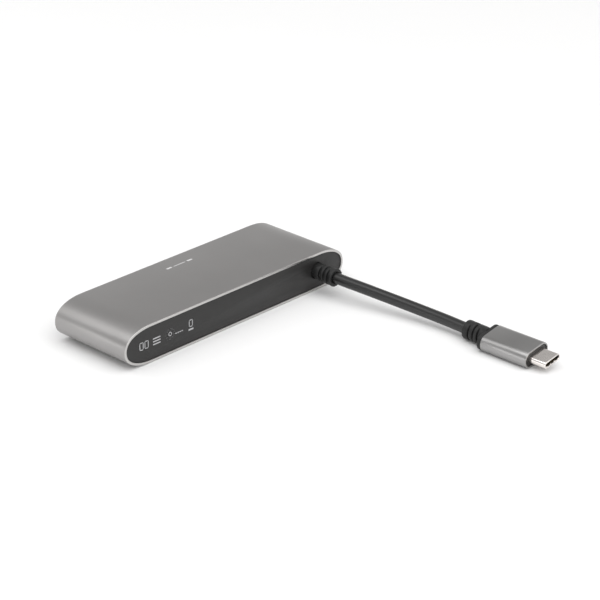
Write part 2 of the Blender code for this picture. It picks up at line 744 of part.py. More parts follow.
def card_socket_base():
    finish = black_plastic("card_base_plastic")
    left = CARD_CENTRE - CARD_CHANNEL / 2 - BAY_WIDTH - CARD_RAIL
    right = CARD_CENTRE + CARD_CHANNEL / 2 + CARD_RAIL
    top = CARD_FLOOR + CARD_HEIGHT
    low, high = (left, CARD_BACK, CARD_BASE_BOTTOM), (right, CARD_FRONT, top)
    piece = block("card_socket_base", low, high, finish)
    low = (left + CARD_RAIL, CARD_BACK + CARD_RAIL, CARD_FLOOR)
    high = (right - CARD_RAIL, CARD_FRONT + BURIED, top + BURIED)
    cut(piece, block_tool("card_channel", low, high))
    half = CARD_WINDOW[0] / 2
    low = (CARD_CENTRE - half, CARD_WINDOW[1], CARD_BASE_BOTTOM - BURIED)
    high = (CARD_CENTRE + half, CARD_WINDOW[2], CARD_FLOOR + BURIED)
    cut(piece, block_tool("card_floor_window", low, high))
    return left, right, top


def card_socket_cover(left, right, top):
    low = (left, CARD_BACK, top + PART_GAP)
    high = (right, CARD_FRONT, top + PART_GAP + CARD_COVER)
    piece = block("card_socket_cover", low, high, steel("card_cover_steel"))
    half = COVER_WINDOW[0] / 2
    low = (CARD_CENTRE - half, COVER_WINDOW[1], top - BURIED)
    high = (CARD_CENTRE + half, COVER_WINDOW[2], top + BURIED)
    cut(piece, block_tool("card_cover_window", low, high))


def card_contacts():
    first = CARD_CENTRE + CARD_SHIFT - (CARD_CONTACTS - 1) / 2 * CARD_PITCH
    places = [first + k * CARD_PITCH for k in range(CARD_CONTACTS)]
    wide, thick, root, tip = CARD_STRIP
    level = CARD_FLOOR + 0.25 * MM
    contact_comb("card_socket_contacts", 0.0, places, wide, root, tip, level, thick)


def card_slider():
    """The ejector: a bar beside the card, a foot that the card's edge pushes, and a spring ledge."""
    outline_mm = (
        (-2.3, 1.0),
        (-2.3, 0.0),
        (-0.6, 0.0),
        (-0.6, -7.2),
        (2.7, -7.2),
        (2.7, -6.2),
        (0.6, -6.2),
        (0.6, 1.0),
    )
    outline = [(x * MM, y * MM) for x, y in outline_mm]
    plastic = black_plastic("card_slider_plastic")
    piece = plate("card_slider", outline, SLIDER_THICK, plastic, None, True)
    piece.location = SLIDER_ORIGIN
    piece = as_mesh(piece)
    x, y, z = SLIDER_ORIGIN
    top = z + SLIDER_THICK / 2
    half = CAM_GROOVE[0] / 2
    low = (x - half, CAM_TIP - CAM_SPARE, top - CAM_GROOVE[1])
    high = (x + half, CAM_TIP + SLIDER_TRAVEL + CAM_SPARE, top + BURIED)
    cut(piece, block_tool("cam_groove", low, high))


def card_slider_spring():
    """It pushes on the slider's ledge from the socket's back wall."""
    back = CARD_BACK + CARD_RAIL + PANEL_CLEARANCE + SPRING_WIRE
    front = SLIDER_ORIGIN.y - PANEL_CLEARANCE - SPRING_WIRE
    centre_x = SLIDER_ORIGIN.x - 1.5 * MM
    steps = 10 * SPRING_TURNS
    points = []
    for k in range(steps + 1):
        a = 2 * math.pi * SPRING_TURNS * k / steps
        x = centre_x + SPRING_RADIUS * math.cos(a)
        y = back + (front - back) * k / steps
        points.append((x, y, SLIDER_ORIGIN.z + SPRING_RADIUS * math.sin(a)))
    wire("card_slider_spring", points, SPRING_WIRE, steel("spring_steel"))


def card_slider_cam_wire():
    """A bent wire fixed in front of the slider, with its tip down in the slider's groove."""
    x = SLIDER_ORIGIN.x
    top = CARD_FLOOR + CARD_HEIGHT - 2 * CAM_WIRE
    bend = CAM_BEND
    points = [
        (x, CAM_FRONT, CARD_FLOOR + CLEARANCE),
        (x, CAM_FRONT, top - bend),
        (x, CAM_FRONT - bend, top),
        (x, CAM_TIP + bend, top),
        (x, CAM_TIP, top - bend),
        (x, CAM_TIP, top - 2 * bend),
    ]
    wire("card_slider_cam_wire", points, CAM_WIRE, steel("cam_wire_steel"))


# ---------------------------------------------------------------- cable entry

def boot_profile(length, root, end, grooves):
    """A strain relief from its root (top) to the cable end, with a ring groove round each centre."""
    lean = GROOVE_WIDTH / 6
    profile = [(0.0, 0.0), (root, 0.0)]
    for centre in sorted(grooves, reverse=True):
        height = centre - length
        radius = root + (end - root) * -height / length
        floor = radius - GROOVE_DEPTH
        profile.append((radius, height + GROOVE_WIDTH / 2))
        profile.append((floor, height + GROOVE_WIDTH / 2 - lean))
        profile.append((floor, height - GROOVE_WIDTH / 2 + lean))
        profile.append((radius, height - GROOVE_WIDTH / 2))
    profile += [(end, BOOT_CHAMFER - length), (end - BOOT_CHAMFER, -length), (0.0, -length)]
    return profile


def flip(profile):
    """The same turned shape the other way up, still listed from top to bottom."""
    return [(radius, -height) for radius, height in reversed(profile)]


def cable_boot():
    """Overmoulded strain relief: flange behind the panel, neck through it, ribbed tail outside."""
    outer = -PANEL_FRONT - FIT_GAP
    profile = flip(boot_profile(outer - BOOT_END, BOOT_ROOT, BOOT_RADIUS, BOOT_GROOVES))
    piece = turned("cable_boot", profile, black_plastic("cable_boot_rubber"), None, 24)
    piece.location = (BOOT_X, outer, BOOT_Z)
    piece.rotation_euler.x = math.pi / 2
    radius, thick = BOOT_FLANGE
    reach = FIT_GAP + PANEL_THICK + FIT_GAP + thick / 2
    neck = [(0.0, BURIED), (BOOT_NECK, BURIED), (BOOT_NECK, -reach), (0.0, -reach)]
    join(piece, turned_tool("boot_neck", neck, (BOOT_X, outer, BOOT_Z)))
    flange = [(0.0, 0.0), (radius, 0.0), (radius, -thick), (0.0, -thick)]
    join(piece, turned_tool("boot_flange", flange, (BOOT_X, FIT_GAP - PANEL_BACK, BOOT_Z)))
    mouth = (BOOT_X, BOOT_END, BOOT_Z)
    cut(piece, round_tool("boot_mouth", mouth, CABLE_RADIUS + MOUTH_GAP, 2 * MOUTH_DEPTH, "Y", 20))


def cable_tail():
    """The jacketed end of the cable inside the box, and the metal ring crimped round it."""
    start = FIT_GAP - PANEL_BACK + BOOT_FLANGE[1] + CLEARANCE
    length = TAIL_END - start
    rubber = surface("tail_jacket_rubber", (0.02, 0.02, 0.02), 0.5)
    profile = [(0.0, 0.0), (CABLE_RADIUS, 0.0), (CABLE_RADIUS, -length), (0.0, -length)]
    piece = turned("cable_tail", profile, rubber, None, 16)
    piece.rotation_euler.x = math.pi / 2
    piece.location = (BOOT_X, start, BOOT_Z)

    ring = circle(CABLE_RADIUS + CRIMP_GAP + CRIMP_WALL)
    crimp = sleeve("cable_crimp", ring, CRIMP_LENGTH, CRIMP_WALL, steel("crimp_steel"))
    crimp.location = (BOOT_X, CRIMP_Y, BOOT_Z)


def bared_wires():
    """Four wires that fan out from the cable's end and come down to the board."""
    wires = (
        ("power_wire", -1.5, (0.5, 0.02, 0.02)),
        ("ground_wire", -0.5, (0.02, 0.02, 0.02)),
        ("data_wire_1", 0.5, (0.02, 0.25, 0.05)),
        ("data_wire_2", 1.5, (0.6, 0.6, 0.6)),
    )
    resting = BOARD_TOP + WIRE_RADIUS + FIT_GAP
    for name, side, colour in wires:
        knots = [
            (BOOT_X + side * 0.75 * MM, TAIL_END + CLEARANCE, BOOT_Z),
            (BOOT_X + side * 0.9 * MM, TAIL_END + 1.8 * MM, BOOT_Z - 0.1 * MM),
            (BOOT_X + side * 1.7 * MM, TAIL_END + 4.2 * MM, resting + 0.25 * MM),
            (BOOT_X + side * 1.9 * MM, TAIL_END + 6.4 * MM, resting),
        ]
        wire(name, smooth_route(knots, 0.8 * MM), WIRE_RADIUS, surface(name + "_vinyl", colour, 0.45))


def cable():
    rubber = surface("cable_jacket_rubber", (0.018, 0.018, 0.018), 0.42)
    wire("cable", smooth_route(CABLE_ROUTE, ROUTE_SPACING), CABLE_RADIUS, rubber, 3)


# ---------------------------------------------------------------- plug

def on_plug(piece):
    piece.parent = PLUG_FRAME
    return piece


def plug_tube(name, size, corner, length, front, wall, finish, steps=5):
    piece = sleeve(name, rounded_rectangle(*size, corner, steps), length, wall, finish)
    piece.location = (0, front + length / 2, 0)
    return on_plug(piece)


def plug_plate(name, size, corner, length, front, finish, steps=5):
    piece = plate(name, rounded_rectangle(*size, corner, steps), length, finish)
    piece.location = (0, front + length / 2, 0)
    return as_mesh(piece)


def plug_tool(piece):
    hide_cutter(piece)
    for group in list(piece.users_collection):
        group.objects.unlink(piece)
    CUTTERS.objects.link(piece)
    return on_plug(piece)


def shrunk(size, gap):
    """The width and height left when gap is taken off every side."""
    return [side - 2 * gap for side in size]


def plug_sleeve():
    finish = surface("plug_sleeve_aluminium", (0.27, 0.266, 0.264), 0.3, 1.0)
    piece = plug_tube("plug_sleeve", SLEEVE_SIZE, SLEEVE_CORNER, SLEEVE_LENGTH, 0.0, SLEEVE_WALL, finish, 6)
    bevel(piece, SLEEVE_CHAMFER, 1, 50)
    smooth(piece)


def plug_insert():
    """The black face inside the sleeve's mouth, with the metal tip through it."""
    gap = SLEEVE_WALL + INSERT_GAP
    plastic = black_plastic("plug_insert_plastic")
    size, corner = shrunk(SLEEVE_SIZE, gap), SLEEVE_CORNER - gap
    piece = on_plug(plug_plate("plug_insert", size, corner, INSERT_DEPTH, INSERT_RECESS, plastic))
    hole, corner = shrunk(TIP_SIZE, -FIT_GAP), TIP_CORNER + FIT_GAP
    cut(piece, plug_tool(plug_plate("tip_hole", hole, corner, 2 * INSERT_DEPTH, -BURIED, None)))


def plug_tip():
    """The standard reversible tip: a seamless metal shell with a flat oval section."""
    nickel = surface("plug_tip_nickel", (0.75, 0.72, 0.69), 0.22, 1.0)
    length = TIP_LENGTH + TIP_BURIED
    smooth(plug_tube("plug_tip", TIP_SIZE, TIP_CORNER, length, -TIP_LENGTH, TIP_WALL, nickel))


def plug_core():
    """The moulding inside the tip, with the slot for the socket's tongue and two rows of contacts."""
    gap = TIP_WALL + CORE_GAP
    front = CORE_RECESS - TIP_LENGTH
    plastic = black_plastic("plug_core_plastic")
    size, corner = shrunk(TIP_SIZE, gap), TIP_CORNER - gap
    core = on_plug(plug_plate("plug_core", size, corner, CORE_BACK - front, front, plastic, 4))
    length = CORE_SLOT_DEPTH + BURIED
    cut(core, plug_tool(plug_plate("core_slot", CORE_SLOT, PIN_WIDTH, length, front - BURIED, None, 2)))

    places = [(k - (PIN_COUNT - 1) / 2) * PIN_PITCH for k in range(PIN_COUNT)]
    root = -(front + CORE_SLOT_DEPTH - CLEARANCE)
    outline = comb_outline(places, PIN_WIDTH, COMB_BAR, root, -(front + CLEARANCE))
    outline = [(x, -y) for x, y in reversed(outline)]
    for name, level in (("plug_contacts_upper", PIN_LEVEL), ("plug_contacts_lower", -PIN_LEVEL)):
        flat = plate(name, outline, PIN_THICK, gold(name + "_gilt"), None, True)
        flat.location = (0, 0, level)
        on_plug(flat)


def plug_inside():
    """The small board behind the tip, and the chip that tells the laptop what is plugged in."""
    laminate = surface("plug_board_laminate", (0.012, 0.05, 0.03), 0.4)
    on_plug(block("plug_board", (-4.0 * MM, 5.6 * MM, -0.4 * MM), (4.0 * MM, 12.6 * MM, 0.4 * MM), laminate))
    chip = chip_epoxy("plug_marker_chip_epoxy")
    on_plug(block("plug_marker_chip", (-1.5 * MM, 7.2 * MM, 0.5 * MM), (1.5 * MM, 10.2 * MM, 1.3 * MM), chip))


def plug_boot():
    """The sleeve's black rear collar, with a spigot inside it and a ribbed tail for the cable."""
    rubber = black_plastic("plug_boot_rubber")
    size, corner = shrunk(SLEEVE_SIZE, FIT_GAP), SLEEVE_CORNER - FIT_GAP
    collar = plug_plate("plug_boot", size, corner, COLLAR_THICK, SLEEVE_LENGTH + FIT_GAP, rubber, 6)
    piece = on_plug(collar)
    bevel(piece, CLEARANCE, 1, 50)
    gap = SLEEVE_WALL + FIT_GAP
    size, corner = shrunk(SLEEVE_SIZE, gap), SLEEVE_CORNER - gap
    front = SLEEVE_LENGTH - SPIGOT_LENGTH
    length = SPIGOT_LENGTH + FIT_GAP + COLLAR_THICK / 3
    join(piece, plug_tool(plug_plate("boot_spigot", size, corner, length, front, None)))
    start = SLEEVE_LENGTH + FIT_GAP + COLLAR_THICK * 2 / 3
    profile = boot_profile(PLUG_BOOT_END - start, PLUG_BOOT_ROOT, PLUG_BOOT_RADIUS, PLUG_GROOVES)
    tail = turned("plug_boot_tail", profile, None, CUTTERS, 24)
    hide_cutter(tail)
    tail.rotation_euler.x = math.pi / 2
    tail.location = (0, start, 0)
    join(piece, on_plug(tail))
    mouth = (0, PLUG_BOOT_END, 0)
    mouth_tool = round_tool("plug_boot_mouth", mouth, CABLE_RADIUS + MOUTH_GAP, 2 * MOUTH_DEPTH, "Y", 20)
    cut(piece, on_plug(mouth_tool))


# ---------------------------------------------------------------- assembly

PLUG_FRAME = bpy.data.objects.new("plug_frame", None)
PARTS.objects.link(PLUG_FRAME)
PLUG_FRAME.location = PLUG_PLACE
PLUG_FRAME.rotation_euler = (0.0, PLUG_ROLL, PLUG_HEADING)

housing_sleeve()
cable_side_panel()
port_side_panel()
carrier_tray()
main_board()
board_screws()
chips()
passive_parts()
shield_can()
thermal_pad()
for socket_number, socket_x in enumerate(TYPE_A_CENTRES):
    type_a_socket(socket_number + 1, socket_x)
video_socket()
card_socket_cover(*card_socket_base())
card_contacts()
card_slider()
card_slider_spring()
card_slider_cam_wire()
cable_boot()
cable_tail()
bared_wires()
cable()
plug_sleeve()
plug_insert()
plug_tip()
plug_core()
plug_inside()
plug_boot()
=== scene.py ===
"""Looks of the docking station: finely shaped outer pieces, every material, lights and camera.

Lengths are metres in the frame's own axes: +Z up, the box on z = 0, its cable leaving towards -Y.
"""
import json
import math

import bmesh
import bpy
from mathutils import Matrix, Vector


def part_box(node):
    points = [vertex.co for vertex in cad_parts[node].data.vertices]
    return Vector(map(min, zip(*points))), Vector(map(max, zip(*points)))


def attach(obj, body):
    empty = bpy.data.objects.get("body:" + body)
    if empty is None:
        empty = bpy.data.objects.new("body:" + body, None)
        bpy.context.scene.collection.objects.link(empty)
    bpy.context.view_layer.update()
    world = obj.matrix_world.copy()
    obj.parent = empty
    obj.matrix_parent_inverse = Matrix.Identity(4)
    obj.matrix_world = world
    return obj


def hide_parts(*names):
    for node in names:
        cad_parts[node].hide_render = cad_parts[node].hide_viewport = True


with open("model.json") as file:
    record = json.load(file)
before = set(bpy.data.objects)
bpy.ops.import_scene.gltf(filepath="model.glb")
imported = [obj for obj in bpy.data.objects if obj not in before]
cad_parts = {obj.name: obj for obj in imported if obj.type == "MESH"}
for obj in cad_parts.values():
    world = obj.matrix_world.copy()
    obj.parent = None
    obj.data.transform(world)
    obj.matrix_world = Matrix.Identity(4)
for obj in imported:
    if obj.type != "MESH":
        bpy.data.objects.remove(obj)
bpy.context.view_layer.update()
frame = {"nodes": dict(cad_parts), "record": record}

MM = 0.001
BODY = "station"               # the cable and the plug ride this body too

# box
BOX_LOW, BOX_HIGH = (Vector(corner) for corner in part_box("housing_sleeve"))
LENGTH, WIDTH, HEIGHT = BOX_HIGH - BOX_LOW
MIDDLE = HEIGHT / 2
END_RUN = 12.8 * MM            # length of each rounded end along X
END_POWER = 2.25               # power of the superellipse that rounds the ends
WALL = 0.92 * MM               # of the housing, seen at its two mouths
SKIN = 0.02 * MM               # the shell stands back by this, so that a printed mark stays within the box
INK = 0.015 * MM               # thickness of the printed marks
PANEL_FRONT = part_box("port_side_panel")[1].y
PANEL_THICK = 1.2 * MM
PORT_GAP = 0.2 * MM            # between a socket's shell and its opening
CARD_SLOT = (24.8 * MM, 2.6 * MM)
CARD_SLOT_X = -28.1 * MM
EDGE_BREAK = 0.12 * MM         # left by cutting the panels' openings
AXIS_POINT = 0.0005 * MM       # a radius this small closes a turned solid at its axis

# strain relief at the box, and the cable
BOOT_AXIS = Vector((39.9 * MM, 0.0, 7.4 * MM))
BOOT_END = -26.8 * MM
BOOT_RADIUS = 3.35 * MM
BOOT_NECK = 2.85 * MM
BOOT_HOLE = 3.05 * MM
BOOT_FLANGE = (4.1 * MM, 1.2 * MM)  # radius and thickness behind the panel
FIT_GAP = 0.15 * MM            # between pieces that meet
CABLE_RADIUS = 2.03 * MM
CABLE_ROUTE = [                # centre line of the cable from boot to boot
    (39.9 * MM, -26.7 * MM, 7.4 * MM),
    (40.16 * MM, -31.5 * MM, 7.25 * MM),
    (41.3 * MM, -38.85 * MM, 6.68 * MM),
    (42.8 * MM, -47.25 * MM, 5.84 * MM),
    (44.36 * MM, -56.2 * MM, 4.95 * MM),
    (45.6 * MM, -65.1 * MM, 4.2 * MM),
    (46.22 * MM, -73.5 * MM, 3.78 * MM),
    (46.18 * MM, -82.6 * MM, 3.58 * MM),
]

# plug, in its own frame: tip towards -Y, the sleeve from y = 0 to SLEEVE_LENGTH
PLUG_TURN = Matrix.Rotation(math.radians(0.8), 4, "Z") @ Matrix.Rotation(math.radians(-9.0), 4, "Y")
PLUG_FRAME = Matrix.Translation((46.59 * MM, -112.35 * MM, 3.57 * MM)) @ PLUG_TURN
SLEEVE_SIZE = (12.55 * MM, 6.1 * MM)
SLEEVE_CORNER = 3.0 * MM
SLEEVE_LENGTH = 19.4 * MM
SLEEVE_WALL = 0.55 * MM
COLLAR_THICK = 1.5 * MM
TIP_WALL = 0.2 * MM
LOWER_SIDE = math.radians(205)  # about Y, from +X towards +Z
UPPER_SIDE = math.radians(105)
# each groove's place along Y, and the side of the rubber that it is cut into
BOOT_GROOVES = ((-20.9 * MM, LOWER_SIDE), (-23.0 * MM, UPPER_SIDE), (-24.9 * MM, LOWER_SIDE))
PLUG_GROOVES = ((23.3 * MM, LOWER_SIDE), (25.2 * MM, UPPER_SIDE), (27.2 * MM, LOWER_SIDE))
GROOVE_WIDTH = 0.75 * MM
GROOVE_DEPTH = 0.75 * MM
PLUG_BOOT_END = 29.9 * MM
PLUG_BOOT_ROOT = 3.22 * MM
PLUG_BOOT_GROWTH = 0.23 * MM
TIP_SIZE = (8.25 * MM, 2.4 * MM)
TIP_CORNER = 1.15 * MM
TIP_LENGTH = 6.65 * MM
TIP_LIP = 0.42 * MM
TIP_FIT = 0.04 * MM
SPRING_PLACES = (-3.15 * MM, -1.05 * MM, 1.05 * MM, 3.15 * MM)


# ---------------------------------------------------------------- camera

def make_camera():
    """A long lens from the near left, about 25 degrees above the floor."""
    data = bpy.data.cameras.new("camera")
    data.sensor_width = 36.0
    data.lens = 135.48
    data.clip_start = 0.01
    data.clip_end = 50.0
    camera = bpy.data.objects.new("camera", data)
    bpy.context.scene.collection.objects.link(camera)
    camera.location = (-0.49800, -0.52381, 0.33944)
    camera.rotation_euler = (math.radians(90.0 - 24.951), 0.0, math.radians(-46.255))
    bpy.context.scene.camera = camera


# ---------------------------------------------------------------- node materials

# For each finish: colour, its drift as a share, roughness, its spread, grains per mm, relief of the grain
# in mm, metallic, drifts per mm, and the stretch of the grain along X, Y and Z where it isn't even.
FINISHES = {
    # box and board
    "body_aluminium": ((0.36, 0.352, 0.348), 0.025, 0.41, 0.04, 5.0, 0.0025, 1.0, 0.05),
    "cut_rim": ((0.55, 0.54, 0.53), 0.02, 0.30, 0.04, 3.0, 0.002, 1.0, 0.3, (1, 8, 8)),
    "panel_plastic": ((0.022, 0.0214, 0.021), 0.08, 0.46, 0.05, 4.0, 0.010, 0.0, 0.15),
    "tray_plastic": ((0.045, 0.045, 0.05), 0.1, 0.55, 0.06, 3.0, 0.008, 0.0, 0.15),
    "board_laminate": ((0.012, 0.06, 0.03), 0.25, 0.35, 0.05, 2.0, 0.006, 0.0, 0.8),
    "screw_steel": ((0.60, 0.59, 0.57), 0.05, 0.30, 0.06, 5.0, 0.003, 1.0, 0.5),
    # parts on the board
    "chip_epoxy": ((0.022, 0.022, 0.025), 0.1, 0.55, 0.06, 8.0, 0.006, 0.0, 0.5),
    "crystal_can": ((0.70, 0.68, 0.62), 0.05, 0.28, 0.05, 5.0, 0.003, 1.0, 0.5),
    "inductor_ferrite": ((0.05, 0.05, 0.055), 0.15, 0.65, 0.08, 4.0, 0.02, 0.0, 0.6),
    "capacitor_case": ((0.72, 0.42, 0.10), 0.08, 0.45, 0.06, 4.0, 0.006, 0.0, 0.5),
    "shield_tinplate": ((0.68, 0.67, 0.64), 0.05, 0.32, 0.06, 3.0, 0.004, 1.0, 0.3, (1, 6, 1)),
    "thermal_silicone": ((0.33, 0.40, 0.54), 0.08, 0.7, 0.06, 3.0, 0.02, 0.0, 0.4),
    # sockets
    "socket_steel": ((0.66, 0.64, 0.61), 0.04, 0.26, 0.05, 4.0, 0.003, 1.0, 0.4, (1, 6, 1)),
    "socket_plastic": ((0.022, 0.022, 0.023), 0.1, 0.45, 0.06, 4.0, 0.008, 0.0, 0.4),
    "contact_gilt": ((0.86, 0.62, 0.24), 0.05, 0.25, 0.05, 5.0, 0.002, 1.0, 0.6),
    "slider_plastic": ((0.04, 0.04, 0.042), 0.1, 0.5, 0.06, 4.0, 0.008, 0.0, 0.4),
    "spring_steel": ((0.60, 0.59, 0.57), 0.05, 0.28, 0.05, 6.0, 0.002, 1.0, 0.6),
    # cable and wires
    "boot_rubber": ((0.017, 0.017, 0.017), 0.12, 0.46, 0.06, 4.0, 0.008, 0.0, 0.3),
    "cable_rubber": ((0.011, 0.011, 0.011), 0.12, 0.33, 0.05, 3.0, 0.005, 0.0, 0.25, (4, 0.4, 4)),
    "wire_red": ((0.5, 0.02, 0.02), 0.1, 0.4, 0.05, 4.0, 0.004, 0.0, 0.15),
    "wire_black": ((0.02, 0.02, 0.02), 0.1, 0.4, 0.05, 4.0, 0.004, 0.0, 0.15),
    "wire_green": ((0.02, 0.25, 0.05), 0.1, 0.4, 0.05, 4.0, 0.004, 0.0, 0.15),
    "wire_grey": ((0.55, 0.55, 0.55), 0.06, 0.4, 0.05, 4.0, 0.004, 0.0, 0.15),
    # plug
    "plug_aluminium": ((0.355, 0.351, 0.348), 0.03, 0.31, 0.03, 6.0, 0.0008, 1.0, 0.15, (1, 0.3, 1)),
    "plug_rim": ((0.42, 0.415, 0.41), 0.02, 0.28, 0.04, 6.0, 0.002, 1.0, 0.3),
    "plug_plastic": ((0.022, 0.021, 0.020), 0.1, 0.45, 0.06, 5.0, 0.008, 0.0, 0.4),
    "tip_nickel": ((0.80, 0.76, 0.73), 0.03, 0.22, 0.05, 6.0, 0.002, 1.0, 0.4, (1, 0.2, 1)),
    # printed marks and floor
    "top_ink": ((0.55, 0.55, 0.55), 0.04, 0.5, 0.05, 6.0, 0.002, 0.0, 1.0),
    "print_ink": ((0.42, 0.42, 0.43), 0.08, 0.55, 0.05, 6.0, 0.004, 0.0, 1.0),
    "floor_card": ((0.86, 0.86, 0.86), 0.004, 0.75, 0.03, 0.4, 0.01, 0.0, 0.01),
}
MIRROR_SHARES = {"boot_rubber": 0.30, "cable_rubber": 0.60, "panel_plastic": 0.40}

def new_material(name):
    """A material with its node tree and its surface shader."""
    made = bpy.data.materials.new(name)
    made.use_nodes = True
    return made, made.node_tree, made.node_tree.nodes["Principled BSDF"]


def place_nodes(tree):
    """The object's own coordinates in millimetres, so that every grain has a real size."""
    where = tree.nodes.new("ShaderNodeTexCoord")
    scale = tree.nodes.new("ShaderNodeMapping")
    scale.inputs["Scale"].default_value = (1000.0, 1000.0, 1000.0)
    tree.links.new(where.outputs["Object"], scale.inputs["Vector"])
    return scale


def noise(tree, where, scale, detail=2.0, stretch=None):
    """A noise texture whose features are about 1 / scale millimetres across."""
    source = where.outputs["Vector"]
    if stretch:
        pull = tree.nodes.new("ShaderNodeMapping")
        pull.inputs["Scale"].default_value = stretch
        tree.links.new(source, pull.inputs["Vector"])
        source = pull.outputs["Vector"]
    made = tree.nodes.new("ShaderNodeTexNoise")
    made.inputs["Scale"].default_value = scale
    made.inputs["Detail"].default_value = detail
    tree.links.new(source, made.inputs["Vector"])
    return made.outputs["Fac"]


def spread(tree, value, low, high):
    """The middle of a noise value stretched to the range from low to high."""
    made = tree.nodes.new("ShaderNodeMapRange")
    made.inputs["From Min"].default_value = 0.3
    made.inputs["From Max"].default_value = 0.7
    made.inputs["To Min"].default_value = low
    made.inputs["To Max"].default_value = high
    tree.links.new(value, made.inputs["Value"])
    return made.outputs["Result"]


def tint(tree, value, first, second):
    """A colour between the first and the second, by a noise value."""
    ramp = tree.nodes.new("ShaderNodeValToRGB")
    ramp.color_ramp.elements[0].position = 0.3
    ramp.color_ramp.elements[1].position = 0.7
    ramp.color_ramp.elements[0].color = (*first, 1.0)
    ramp.color_ramp.elements[1].color = (*second, 1.0)
    tree.links.new(value, ramp.inputs["Fac"])
    return ramp.outputs["Color"]


def bump(tree, shader, height, distance):
    """A shallow relief in the surface, as deep as distance."""
    made = tree.nodes.new("ShaderNodeBump")
    made.inputs["Strength"].default_value = 1.0
    made.inputs["Distance"].default_value = distance
    tree.links.new(height, made.inputs["Height"])
    tree.links.new(made.outputs["Normal"], shader.inputs["Normal"])
    return made


def grained(name, colour, vary, roughness, rough_vary, grain, relief, metallic, cloud, stretch=None):
    """Colour that drifts a little over millimetres, with a fine grain in roughness and relief."""
    made, tree, shader = new_material(name)
    where = place_nodes(tree)
    drift = noise(tree, where, cloud, 3.0)
    darker = [c * (1 - vary) for c in colour]
    lighter = [min(1.0, c * (1 + vary)) for c in colour]
    tree.links.new(tint(tree, drift, darker, lighter), shader.inputs["Base Color"])
    fine = noise(tree, where, grain, 3.0, stretch)
    dull_and_smooth = spread(tree, fine, roughness - rough_vary, roughness + rough_vary)
    tree.links.new(dull_and_smooth, shader.inputs["Roughness"])
    bump(tree, shader, fine, relief * MM)
    shader.inputs["Metallic"].default_value = metallic
    return made


def make_materials():
    """Every finish of the table, with a weaker mirror part where the table of shares says so."""
    made = {name: grained(name, *row) for name, row in FINISHES.items()}
    for name, share in MIRROR_SHARES.items():
        shader = made[name].node_tree.nodes["Principled BSDF"]
        shader.inputs["Specular IOR Level"].default_value = share
    return made


# ---------------------------------------------------------------- meshes from outlines

def finish_mesh(name, bm, finishes, replaced=(), body=BODY, angle=30.0, place=None):
    """Turns a bmesh into a shaded piece that rides a body and takes its finish from a slot."""
    bmesh.ops.recalc_face_normals(bm, faces=bm.faces)
    if place:
        bmesh.ops.transform(bm, matrix=place, verts=bm.verts)
    mesh = bpy.data.meshes.new(name)
    bm.to_mesh(mesh)
    bm.free()
    for finish in finishes:
        mesh.materials.append(MATERIALS[finish])
    mesh.shade_smooth()
    mesh.set_sharp_from_angle(angle=math.radians(angle))
    piece = bpy.data.objects.new(name, mesh)
    bpy.context.scene.collection.objects.link(piece)
    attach(piece, body)
    if replaced:
        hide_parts(*replaced)
    return piece


def loft(rings, closed=False, finish_of=None):
    """Rings of points joined by quads; the two end rings are filled unless the loft is closed."""
    bm = bmesh.new()
    grid = [[bm.verts.new(point) for point in ring] for ring in rings]
    count = len(grid[0])
    spans = list(zip(grid, grid[1:]))
    if closed:
        spans.append((grid[-1], grid[0]))
    for index, (first, second) in enumerate(spans):
        for k in range(count):
            face = bm.faces.new((first[k - 1], first[k], second[k], second[k - 1]))
            if finish_of:
                face.material_index = finish_of(index)
    if not closed:
        bm.faces.new(grid[0])
        bm.faces.new(list(reversed(grid[-1])))
    return bm


def superellipse_end(inset, steps=20):
    """The box's cross-section, moved in by inset along its own normals."""
    straight = LENGTH / 2 - END_RUN
    rise = HEIGHT / 2
    quarter = []
    for k in range(steps + 1):
        a = math.pi / 2 * k / steps
        u = math.cos(a) ** (2 / END_POWER)
        v = math.sin(a) ** (2 / END_POWER)
        normal = Vector((u ** (END_POWER - 1) / END_RUN, v ** (END_POWER - 1) / rise)).normalized()
        quarter.append((straight + END_RUN * u - inset * normal.x, rise * v - inset * normal.y))
    top = quarter + [(-x, z) for x, z in reversed(quarter)]
    return top + [(-x, -z) for x, z in top[1:-1]]


def rounded_rectangle(width, height, radius, steps=6):
    """Points (x, z) round a rectangle whose corners are arcs."""
    points = []
    for turn, (sx, sz) in enumerate(((1, 1), (-1, 1), (-1, -1), (1, -1))):
        cx = sx * (width / 2 - radius)
        cz = sz * (height / 2 - radius)
        for k in range(steps + 1):
            a = math.pi / 2 * (turn + k / steps)
            points.append((cx + radius * math.cos(a), cz + radius * math.sin(a)))
    return points


def inset_rectangle(size, radius, steps=6):
    """A function that gives the rounded rectangle moved in by an inset."""
    def outline(inset):
        corner = max(radius - inset, 0.02 * MM)
        return rounded_rectangle(size[0] - 2 * inset, size[1] - 2 * inset, corner, steps)
    return outline


def ring_at(outline, inset, y, lift=0.0):
    """An inset outline placed at y, raised by lift."""
    return [(x, y, z + lift) for x, z in outline(inset)]


def rounded_edge(inset, y, radius, side, steps=3):
    """Stations (inset, y) round an outer edge whose end face is at y, from the face to the wall."""
    stations = []
    for k in range(steps + 1):
        a = math.pi / 2 * k / steps
        stations.append((inset + radius * (1 - math.sin(a)), y - side * radius * (1 - math.cos(a))))
    return stations


def wall_section(wall, back, front, outer_edge, inner_edge):
    """Stations round the section of a tube's wall: outer side, both end faces, inner side."""
    outer = rounded_edge(0.0, back, outer_edge, -1)
    outer += reversed(rounded_edge(0.0, front, outer_edge, 1))
    inner = [(wall - i, y) for i, y in rounded_edge(0.0, front, inner_edge, 1)]
    inner += [(wall - i, y) for i, y in reversed(rounded_edge(0.0, back, inner_edge, -1))]
    return outer + inner


# ---------------------------------------------------------------- box

